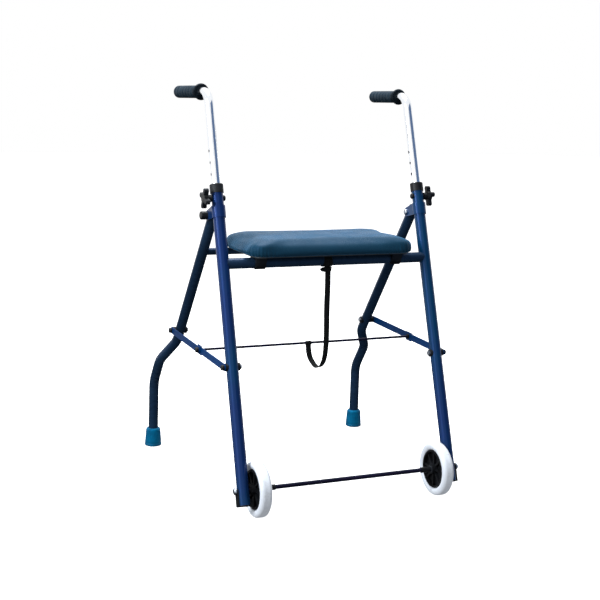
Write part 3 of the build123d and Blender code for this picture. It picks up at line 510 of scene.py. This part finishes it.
# ------------------------------------------------------------------ finishes for the CAD parts
finishes = {
    "front_tube": paint(
        "front_tube",
        color=srgb(16, 42, 90),
        deep=srgb(8, 56, 90),
        worn=srgb(60, 82, 136),
        rough=0.2,
        coat=0.2,
        gloss=0.34,
        cast=srgb(70, 130, 255),
    ),
    "rear_tube": paint(
        "rear_tube",
        color=srgb(29, 48, 70),
        deep=srgb(22, 40, 61),
        worn=srgb(62, 80, 110),
        rough=0.26,
        coat=0.1,
        gloss=0.3,
        cast=srgb(90, 140, 220),
    ),
    "brace_steel": paint(
        "brace_steel",
        color=srgb(5, 54, 106),
        deep=srgb(3, 44, 90),
        worn=srgb(64, 92, 130),
        rough=0.4,
        coat=0.0,
        gloss=0.12,
        cast=srgb(90, 160, 255),
    ),
    "rod_steel": paint(
        "rod_steel",
        color=srgb(26, 22, 42),
        deep=srgb(16, 16, 30),
        worn=srgb(84, 84, 100),
        rough=0.28,
        coat=0.1,
        gloss=0.3,
        cast=srgb(150, 150, 220),
    ),
    "handle_metal": aluminium("handle_metal"),
    "zinc_steel": zinc("zinc_steel"),
    "black_plastic": moulded("black_plastic", srgb(9, 10, 13), srgb(38, 44, 54), rough=0.38, gloss=0.22),
    "hub_plastic": moulded("hub_plastic", srgb(9, 10, 13), srgb(30, 35, 43), rough=0.44, gloss=0.2),
    "bush_plastic": moulded("bush_plastic", srgb(40, 43, 50), srgb(78, 84, 94), rough=0.5, gloss=0.45),
    "grip_rubber": grip_rubber("grip_rubber"),
    "tyre_rubber": tyre_rubber("tyre_rubber"),
    "foot_rubber": foot_rubber("foot_rubber"),
    "seat_vinyl": vinyl("seat_vinyl"),
    "seat_wood": laminate("seat_wood"),
    "strap_webbing": webbing("strap_webbing"),
}
for row in frame["record"]["subparts"]:
    part = nodes[row["node"]]
    if not part.material_slots:
        part.data.materials.append(None)
    for place in part.material_slots:
        place.material = finishes[row["material_slot"]]


# ------------------------------------------------------------------ mesh helpers
def new_piece(name, shape, slot):
    """Make a smooth-shaded piece from a bmesh, with the finish of a material slot."""
    mesh = bpy.data.meshes.new(name)
    bmesh.ops.recalc_face_normals(shape, faces=shape.faces)
    shape.to_mesh(mesh)
    shape.free()
    mesh.polygons.foreach_set("use_smooth", [True] * len(mesh.polygons))
    mesh.materials.append(finishes[slot])
    piece = link(bpy.data.objects.new(name, mesh))
    return piece


def bridge(shape, first, second):
    """Close the band between two rings of the same number of corners."""
    count = len(first)
    for i in range(count):
        j = (i + 1) % count
        shape.faces.new((first[i], first[j], second[j], second[i]))


# ------------------------------------------------------------------ seat cushion
SEAT_CORNER = 0.034
LEAST_CORNER = 0.006
PULL_IN = 0.003
OUTLINE_POINTS = 160

# Inset from the outline and height above the underside, for a block as high as the last row.
CUSHION_PROFILE = (
    (0.0070, 0.0),
    (0.0030, 0.0008),
    (0.0010, 0.0035),
    (0.0, 0.008),
    (0.0, 0.017),
    (0.0003, 0.026),
    (0.0015, 0.0300),
    (0.0044, 0.0336),
    (0.0090, 0.0360),
    (0.016, 0.0373),
    (0.030, 0.0383),
    (0.052, 0.0391),
    (0.074, 0.0396),
    (0.092, 0.0399),
)

# How the cover is puffed: how much smaller it starts, the size of its mesh, the band at the bottom that
# is stapled to the board, how far and how hard it is blown up, and how often it is smoothed after that.
TRIM = 0.0025
EVEN_MESH = 0.0042
STAPLED_BAND = 0.003
PUFF_LIMIT = 0.006
PUFF_PRESSURE = 4.0
PUFF_FRAMES = 20
RELAXING_PASSES = 14

# The board's corners, the play round its edge and above it.
BOARD_CORNER = SEAT_CORNER - 0.008
BOARD_PLAY = 0.0022
BOARD_GAP = 0.0004

# Pleats round the corners: one from the next, how deep, how high up and how far along the sides, and the
# noise that makes them uneven: its scale and how far it moves a pleat, in spacings.
PLEAT_SPACING = 0.0090
PLEAT_DEPTH = 0.0034
PLEAT_HEIGHT = 0.034
PLEAT_SPREAD = 0.052
PLEAT_NOISE_SCALE = 60
PLEAT_WANDER = 0.7


def seat_outline(half_x, half_y, corner, pull):
    """Closed outline of the seat: round corners, and sides drawn in a little between them."""
    points = []
    for i in range(OUTLINE_POINTS):
        angle = 2 * math.pi * i / OUTLINE_POINTS
        across, back = math.cos(angle), math.sin(angle)
        reach = max(abs(across) / half_x, abs(back) / half_y)
        x, y = across / reach, back / reach
        over_x, over_y = abs(x) - (half_x - corner), abs(y) - (half_y - corner)
        if over_x > 0 and over_y > 0:
            scale = corner / math.hypot(over_x, over_y)
            x = math.copysign(half_x - corner + over_x * scale, x)
            y = math.copysign(half_y - corner + over_y * scale, y)
        x -= math.copysign(pull, x) * max(0.0, 1 - (y / half_y) ** 2) * (abs(x) > half_x - corner)
        y -= math.copysign(pull, y) * max(0.0, 1 - (x / half_x) ** 2) * (abs(y) > half_y - corner)
        points.append((x, y))
    return points


def cushion_start(middle, half_x, half_y, bottom, height):
    """Closed block with rounded edges, from which the cover is puffed."""
    stretch = height / CUSHION_PROFILE[-1][1]
    shape = bmesh.new()
    rings = []
    for inset, rise in CUSHION_PROFILE:
        corner = max(SEAT_CORNER - inset, LEAST_CORNER)
        ring = [
            shape.verts.new((middle.x + x, middle.y + y, bottom + rise * stretch))
            for x, y in seat_outline(half_x - inset, half_y - inset, corner, PULL_IN)
        ]
        rings.append(ring)
    for lower, upper in zip(rings, rings[1:]):
        bridge(shape, lower, upper)
    shape.faces.new(rings[-1])
    shape.faces.new(reversed(rings[0]))
    return shape


def inflate(piece, bottom):
    """Puff the cover by cloth pressure, pinned where it is stapled to the board, then relax it.

    Each point's way in the simulation is cut to PUFF_LIMIT.
    """
    scene = bpy.context.scene
    pinned = piece.vertex_groups.new(name="stapled")
    start = [v.co.copy() for v in piece.data.vertices]
    stapled = [i for i, co in enumerate(start) if co.z < bottom + STAPLED_BAND]
    pinned.add(stapled, 1.0, "REPLACE")
    cloth = piece.modifiers.new("cover", "CLOTH")
    cloth.settings.vertex_group_mass = "stapled"
    cloth.settings.quality = 6
    cloth.settings.mass = 0.3
    cloth.settings.tension_stiffness = 25
    cloth.settings.compression_stiffness = 25
    cloth.settings.shear_stiffness = 12
    cloth.settings.bending_stiffness = 2.0
    cloth.settings.use_pressure = True
    cloth.settings.uniform_pressure_force = PUFF_PRESSURE
    cloth.settings.effector_weights.gravity = 0.0
    cloth.point_cache.frame_start = 1
    cloth.point_cache.frame_end = PUFF_FRAMES
    for number in range(1, PUFF_FRAMES + 1):
        scene.frame_set(number)
    puffed = piece.evaluated_get(bpy.context.evaluated_depsgraph_get())
    moved = [v.co.copy() for v in puffed.data.vertices]
    piece.modifiers.remove(cloth)
    piece.vertex_groups.remove(pinned)
    scene.frame_set(1)
    for vertex, old, new in zip(piece.data.vertices, start, moved):
        step = new - old
        if step.length > PUFF_LIMIT:
            step *= PUFF_LIMIT / step.length
        vertex.co = old + step
    relaxed = bmesh.new()
    relaxed.from_mesh(piece.data)
    for _ in range(RELAXING_PASSES):
        bmesh.ops.smooth_vert(
            relaxed,
            verts=relaxed.verts,
            factor=0.5,
            use_axis_x=True,
            use_axis_y=True,
            use_axis_z=True,
        )
    relaxed.to_mesh(piece.data)
    relaxed.free()


def bake(piece, modifier):
    """Put the modifier's result in the piece's mesh and take the modifier off."""
    baked = bpy.data.meshes.new_from_object(piece.evaluated_get(bpy.context.evaluated_depsgraph_get()))
    piece.modifiers.remove(modifier)
    piece.data = baked


def seat_cushion():
    """Vinyl cover: puffed, pleated at the corners and recessed below, where the board sits."""
    low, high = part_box("seat_cushion")
    middle = (low + high) / 2
    half_x = (high.x - low.x) / 2
    half_y = (high.y - low.y) / 2
    shape = cushion_start(middle, half_x - TRIM, half_y - TRIM, low.z, high.z - low.z - TRIM)
    pad = new_piece("cushion_cover", shape, "seat_vinyl")
    remesh = pad.modifiers.new("even", "REMESH")
    remesh.mode = "VOXEL"
    remesh.voxel_size = EVEN_MESH
    remesh.use_smooth_shade = True
    bake(pad, remesh)
    inflate(pad, low.z)
    divide = pad.modifiers.new("divide", "SUBSURF")
    divide.levels = 1
    divide.render_levels = 1
    bake(pad, divide)
    fit_to_box(pad, low, high)
    gather_corners(pad, middle, half_x, half_y, low.z)
    make_room_for_board(pad, low.z)
    pad.data.polygons.foreach_set("use_smooth", [True] * len(pad.data.polygons))
    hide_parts("seat_cushion")
    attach(pad, "seat")


def fit_to_box(piece, low, high):
    """Scale the finished pad to exactly the room the seat leaves for it."""
    points = [v.co for v in piece.data.vertices]
    least = Vector([min(p[i] for p in points) for i in range(3)])
    most = Vector([max(p[i] for p in points) for i in range(3)])
    for point in points:
        for i in range(3):
            point[i] = low[i] + (point[i] - least[i]) * (high[i] - low[i]) / (most[i] - least[i])


def make_room_for_board(piece, bottom):
    """Recess the underside, so that the cover only wraps the board's edge."""
    low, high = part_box("seat_board")
    middle = (low + high) / 2
    for vertex in piece.data.vertices:
        if vertex.co.z > bottom + STAPLED_BAND:
            continue
        x = abs(vertex.co.x - middle.x)
        y = abs(vertex.co.y - middle.y)
        over_x = x - (high.x - middle.x) + BOARD_CORNER
        over_y = y - (high.y - middle.y) + BOARD_CORNER
        reach = math.hypot(max(over_x, 0), max(over_y, 0)) + min(max(over_x, over_y), 0)
        if reach < BOARD_CORNER + BOARD_PLAY:
            vertex.co.z = high.z + BOARD_GAP


def gather_corners(piece, middle, half_x, half_y, bottom):
    """Small upright pleats where the cover is drawn round the corners and under the board.

    'along' runs round the outline from the middle of the corner; each corner has its own noise.
    """
    corner = SEAT_CORNER
    quarter = corner * math.pi / 4
    for vertex in piece.data.vertices:
        x, y = vertex.co.x - middle.x, vertex.co.y - middle.y
        over_x, over_y = abs(x) - (half_x - corner), abs(y) - (half_y - corner)
        well_inside = max(over_x, over_y) < corner * 0.45
        if well_inside:
            continue
        if over_x > 0 and over_y > 0:
            angle = math.atan2(over_y, over_x)
            along = corner * (angle - math.pi / 4)
            outward = Vector((math.cos(angle), math.sin(angle), 0))
        elif over_x > over_y:
            along = -quarter + min(over_y, 0.0)
            outward = Vector((1, 0, 0))
        else:
            along = quarter - min(over_x, 0.0)
            outward = Vector((0, 1, 0))
        outward.x, outward.y = math.copysign(outward.x, x), math.copysign(outward.y, y)
        seed = Vector((along * PLEAT_NOISE_SCALE + math.copysign(3.0, x), math.copysign(5.0, y), 0.3))
        wander = noise.noise(seed)
        fold = abs(math.sin(math.pi * (along / PLEAT_SPACING + PLEAT_WANDER * wander)))
        rise = vertex.co.z - bottom
        low_part = max(0.0, 1 - rise / PLEAT_HEIGHT) ** 0.8
        fade = math.exp(-((along / PLEAT_SPREAD) ** 2))
        depth = PLEAT_DEPTH * (1 - fold) * low_part * fade * (0.6 + 0.6 * abs(wander))
        vertex.co -= outward * depth


seat_cushion()


# ------------------------------------------------------------------ fold strap
STRAP_WIDTH = 0.014
STRAP_THICKNESS = 0.0016
WRAP_R = RAIL_R + 0.0003
STRAP_ROUTE = (
    (0, RAIL.y - 0.003, RAIL.z - WRAP_R - 0.0020),
    (0, RAIL.y - 0.006, RAIL.z - 0.060),
    (0, RAIL.y - 0.004, RAIL.z - 0.115),
    (0, RAIL.y - 0.008, RAIL.z - 0.170),
    (0, RAIL.y - 0.007, RAIL.z - 0.220),
    (0, RAIL.y + 0.006, RAIL.z - 0.253),
    (0, RAIL.y + 0.036, RAIL.z - 0.271),
    (0, RAIL.y + 0.066, RAIL.z - 0.264),
    (0, ROD.y - 0.004, ROD.z - ROD_R - 0.0256),
    (0, ROD.y - 0.001, ROD.z - ROD_R - 0.0022),
)
STRAP_TWIST = 0.14
DOUBLED_END = 0.02

# One edge and one face of the webbing, as shares of its width and thickness, with two low ridges.
HALF_SECTION = [
    (-0.5, -0.2),
    (-0.5, 0.2),
    (-0.46, 0.5),
    (-0.23, 0.56),
    (0.0, 0.5),
    (0.23, 0.56),
    (0.46, 0.5),
]

# The turns round the rail: where each lies across the frame and how much it leans.
RAIL_TURNS = ((-0.0085, 0.10), (0.0015, -0.06))
TURN_LEAN = 0.02
TURN_WIDTH = STRAP_WIDTH * 0.85
TURN_GAP = 0.0009
TURN_SLACK = 0.0006
EYE_SAG = 0.0008

# The knot is an oval band round the neck below the rail; the tail's points are measured from the neck.
KNOT_NECK = Vector((-0.002, RAIL.y - 0.003, RAIL.z - WRAP_R - 0.008))
KNOT_OVAL = (0.0105, 0.0042, 0.0012)
KNOT_WIDTH = 0.0095
TAIL_WIDTH = 0.0085
TAIL_ROUTE = (
    Vector((-0.006, -0.0052, 0.001)),
    Vector((-0.0110, -0.0066, 0.0022)),
    Vector((-0.0150, -0.0064, 0.0016)),
    Vector((-0.0190, -0.0058, -0.0016)),
)


def nurbs_line(points):
    """Points along the smooth line that has the route's points as its control points."""
    data = bpy.data.curves.new("line", "CURVE")
    data.dimensions = "3D"
    data.resolution_u = 16
    spline = data.splines.new("NURBS")
    spline.points.add(len(points) - 1)
    for place, point in zip(spline.points, points):
        place.co = (*point, 1)
    spline.order_u = 3
    spline.use_endpoint_u = True
    holder = link(bpy.data.objects.new("line", data))
    mesh = bpy.data.meshes.new_from_object(holder)
    line = [v.co.copy() for v in mesh.vertices]
    bpy.data.objects.remove(holder)
    bpy.data.curves.remove(data)
    bpy.data.meshes.remove(mesh)
    return line


def round_angles(count):
    """Evenly spaced angles once round."""
    return [2 * math.pi * i / count for i in range(count)]


def ribbon(shape, line, width, side, twist=None, double=0.0, closed=False):
    """Add flat webbing along a line, with its width in the direction 'side'.

    'twist' gives its turn at each share of the way; the last 'double' metres are twice as thick.
    """
    weave = shape.loops.layers.uv.verify()
    section = HALF_SECTION + [(-u, -v) for u, v in HALF_SECTION]
    rings = []
    gone = [0.0]
    for before, after in zip(line, line[1:]):
        gone.append(gone[-1] + (after - before).length)
    for i, point in enumerate(line):
        if closed:
            tangent = line[(i + 1) % len(line)] - line[i - 1]
        else:
            tangent = line[min(i + 1, len(line) - 1)] - line[max(i - 1, 0)]
        tangent.normalize()
        wide = (side - tangent * side.dot(tangent)).normalized()
        if twist:
            wide = Matrix.Rotation(twist(gone[i] / gone[-1]), 3, tangent) @ wide
        face = tangent.cross(wide)
        thick = STRAP_THICKNESS * (1 + (gone[-1] - gone[i] < double))
        rings.append([shape.verts.new(point + wide * u * width + face * v * thick) for u, v in section])
    pairs = list(zip(range(len(rings)), range(1, len(rings))))
    if closed:
        pairs.append((len(rings) - 1, 0))
        gone.append(gone[-1] + (line[0] - line[-1]).length)
    for a, b in pairs:
        for i in range(len(section)):
            j = (i + 1) % len(section)
            face = shape.faces.new((rings[a][i], rings[a][j], rings[b][j], rings[b][i]))
            ends = (gone[a], gone[a], gone[a + 1], gone[a + 1])
            for loop, k, end in zip(face.loops, (i, j, j, i), ends):
                loop[weave].uv = (section[k][0] * width, end)
    if not closed:
        shape.faces.new(rings[0])
        shape.faces.new(reversed(rings[-1]))


def fold_strap():
    """The hanging webbing, its knotted turns round the front rail and the sewn eye round the cross rod."""
    line = nurbs_line(STRAP_ROUTE)
    across = Vector((1, 0, 0))
    shape = bmesh.new()
    ribbon(
        shape,
        line,
        STRAP_WIDTH,
        across,
        twist=lambda t: STRAP_TWIST * math.sin(2 * math.pi * t),
        double=DOUBLED_END,
    )
    strap = new_piece("fold_strap", shape, "strap_webbing")
    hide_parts("strap")

    # The webbing goes twice round the rail and is knotted below it, with a short tail.
    shape = bmesh.new()
    for offset, lean in RAIL_TURNS:
        turns = []
        for a in round_angles(48):
            reach = WRAP_R + TURN_GAP + TURN_SLACK * math.sin(2 * a)
            sideways = offset + lean * TURN_LEAN * math.sin(a)
            turns.append(Vector((sideways, RAIL.y + reach * math.cos(a), RAIL.z + reach * math.sin(a))))
        ribbon(shape, turns, TURN_WIDTH, across, closed=True)
    wide, deep, wave = KNOT_OVAL
    knot = [
        KNOT_NECK + Vector((wide * math.cos(a), deep * math.sin(a), wave * math.sin(a + 0.6)))
        for a in round_angles(32)
    ]
    ribbon(shape, knot, KNOT_WIDTH, Vector((0.1, 0, 1)), closed=True)
    tail = nurbs_line([KNOT_NECK + point for point in TAIL_ROUTE])
    ribbon(shape, tail, TAIL_WIDTH, Vector((0.35, 0.1, 1)))
    knotted = new_piece("strap_knot", shape, "strap_webbing")
    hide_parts("strap_rail_loop")
    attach(knotted, "front_frame")

    # The eye sags a little below the rod, where the webbing joins it.
    shape = bmesh.new()
    eye = []
    for a in round_angles(28):
        reach = ROD_R + TURN_GAP + EYE_SAG * max(0.0, -math.sin(a)) ** 2
        eye.append(Vector((0, ROD.y + reach * math.cos(a), ROD.z + reach * math.sin(a))))
    ribbon(shape, eye, STRAP_WIDTH, across, closed=True)
    loop = new_piece("strap_rod_eye", shape, "strap_webbing")
    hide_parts("strap_rod_loop")
    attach(loop, "brace_front")

    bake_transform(strap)


fold_strap()


# ------------------------------------------------------------------ rubber feet
# The sole and the collar together take up PLAIN_HEIGHT of the foot; the ribs have the rest.
FERRULE_R = 0.0125
RIM = 0.0006
SOCKET_FLOOR = 0.0122
FOOT_POINTS = 208
RIBS = 26
RIB_ROWS = 9
RIB_DEPTH = 0.0008
RIB_TAPER = 0.0022
PLAIN_HEIGHT = 0.0172

# Inset from the widest radius, with height above the floor for the sole and depth below the top for
# the collar.
SOLE = (
    (0.0022, 0.0),
    (0.0007, 0.0006),
    (0.0, 0.002),
    (0.0003, 0.0066),
    (0.0009, 0.0074),
    (0.0014, 0.0081),
    (0.0008, 0.0088),
    (0.0006, 0.0102),
)
COLLAR = (
    (0.0030, 0.0050),
    (0.0037, 0.0026),
    (0.0052, 0.0009),
    (0.0072, 0.0),
)


def rubber_foot(side):
    """Ferrule with upright ribs between a plain collar and a stepped sole."""
    low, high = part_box(f"foot_{side}")
    middle = (low + high) / 2
    outer = (high.x - low.x) / 2
    tall = high.z - low.z
    sole_inset, sole_top = SOLE[-1]
    profile = [(outer - inset, rise) for inset, rise in SOLE]
    ribs_from = len(profile)
    ribs_to = ribs_from + RIB_ROWS
    for i in range(RIB_ROWS):
        t = (i + 1) / RIB_ROWS
        profile.append((outer - sole_inset - RIB_TAPER * t, sole_top + (tall - PLAIN_HEIGHT) * t))
    profile += [(outer - inset, tall - depth) for inset, depth in COLLAR]
    profile += [(FERRULE_R + RIM, tall), (FERRULE_R, tall - RIM), (FERRULE_R, SOCKET_FLOOR)]
    shape = bmesh.new()
    rings = []
    for row, (radius, z) in enumerate(profile):
        depth = 0.0
        if ribs_from <= row < ribs_to:
            # The grooves are shallower in the first and the last row.
            depth = RIB_DEPTH * min(1.0, row - ribs_from + 0.6, ribs_to - row - 0.4)
        ring = []
        for angle in round_angles(FOOT_POINTS):
            groove = max(0.0, math.cos(RIBS * angle)) ** 2
            here = radius - depth * groove
            x = middle.x + here * math.cos(angle)
            y = middle.y + here * math.sin(angle)
            ring.append(shape.verts.new((x, y, low.z + z)))
        rings.append(ring)
    for lower, upper in zip(rings, rings[1:]):
        bridge(shape, lower, upper)
    shape.faces.new(rings[-1])
    shape.faces.new(reversed(rings[0]))
    foot = new_piece(f"rubber_foot_{side}", shape, "foot_rubber")
    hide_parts(f"foot_{side}")
    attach(foot, "rear_frame")


for side in ("left", "right"):
    rubber_foot(side)
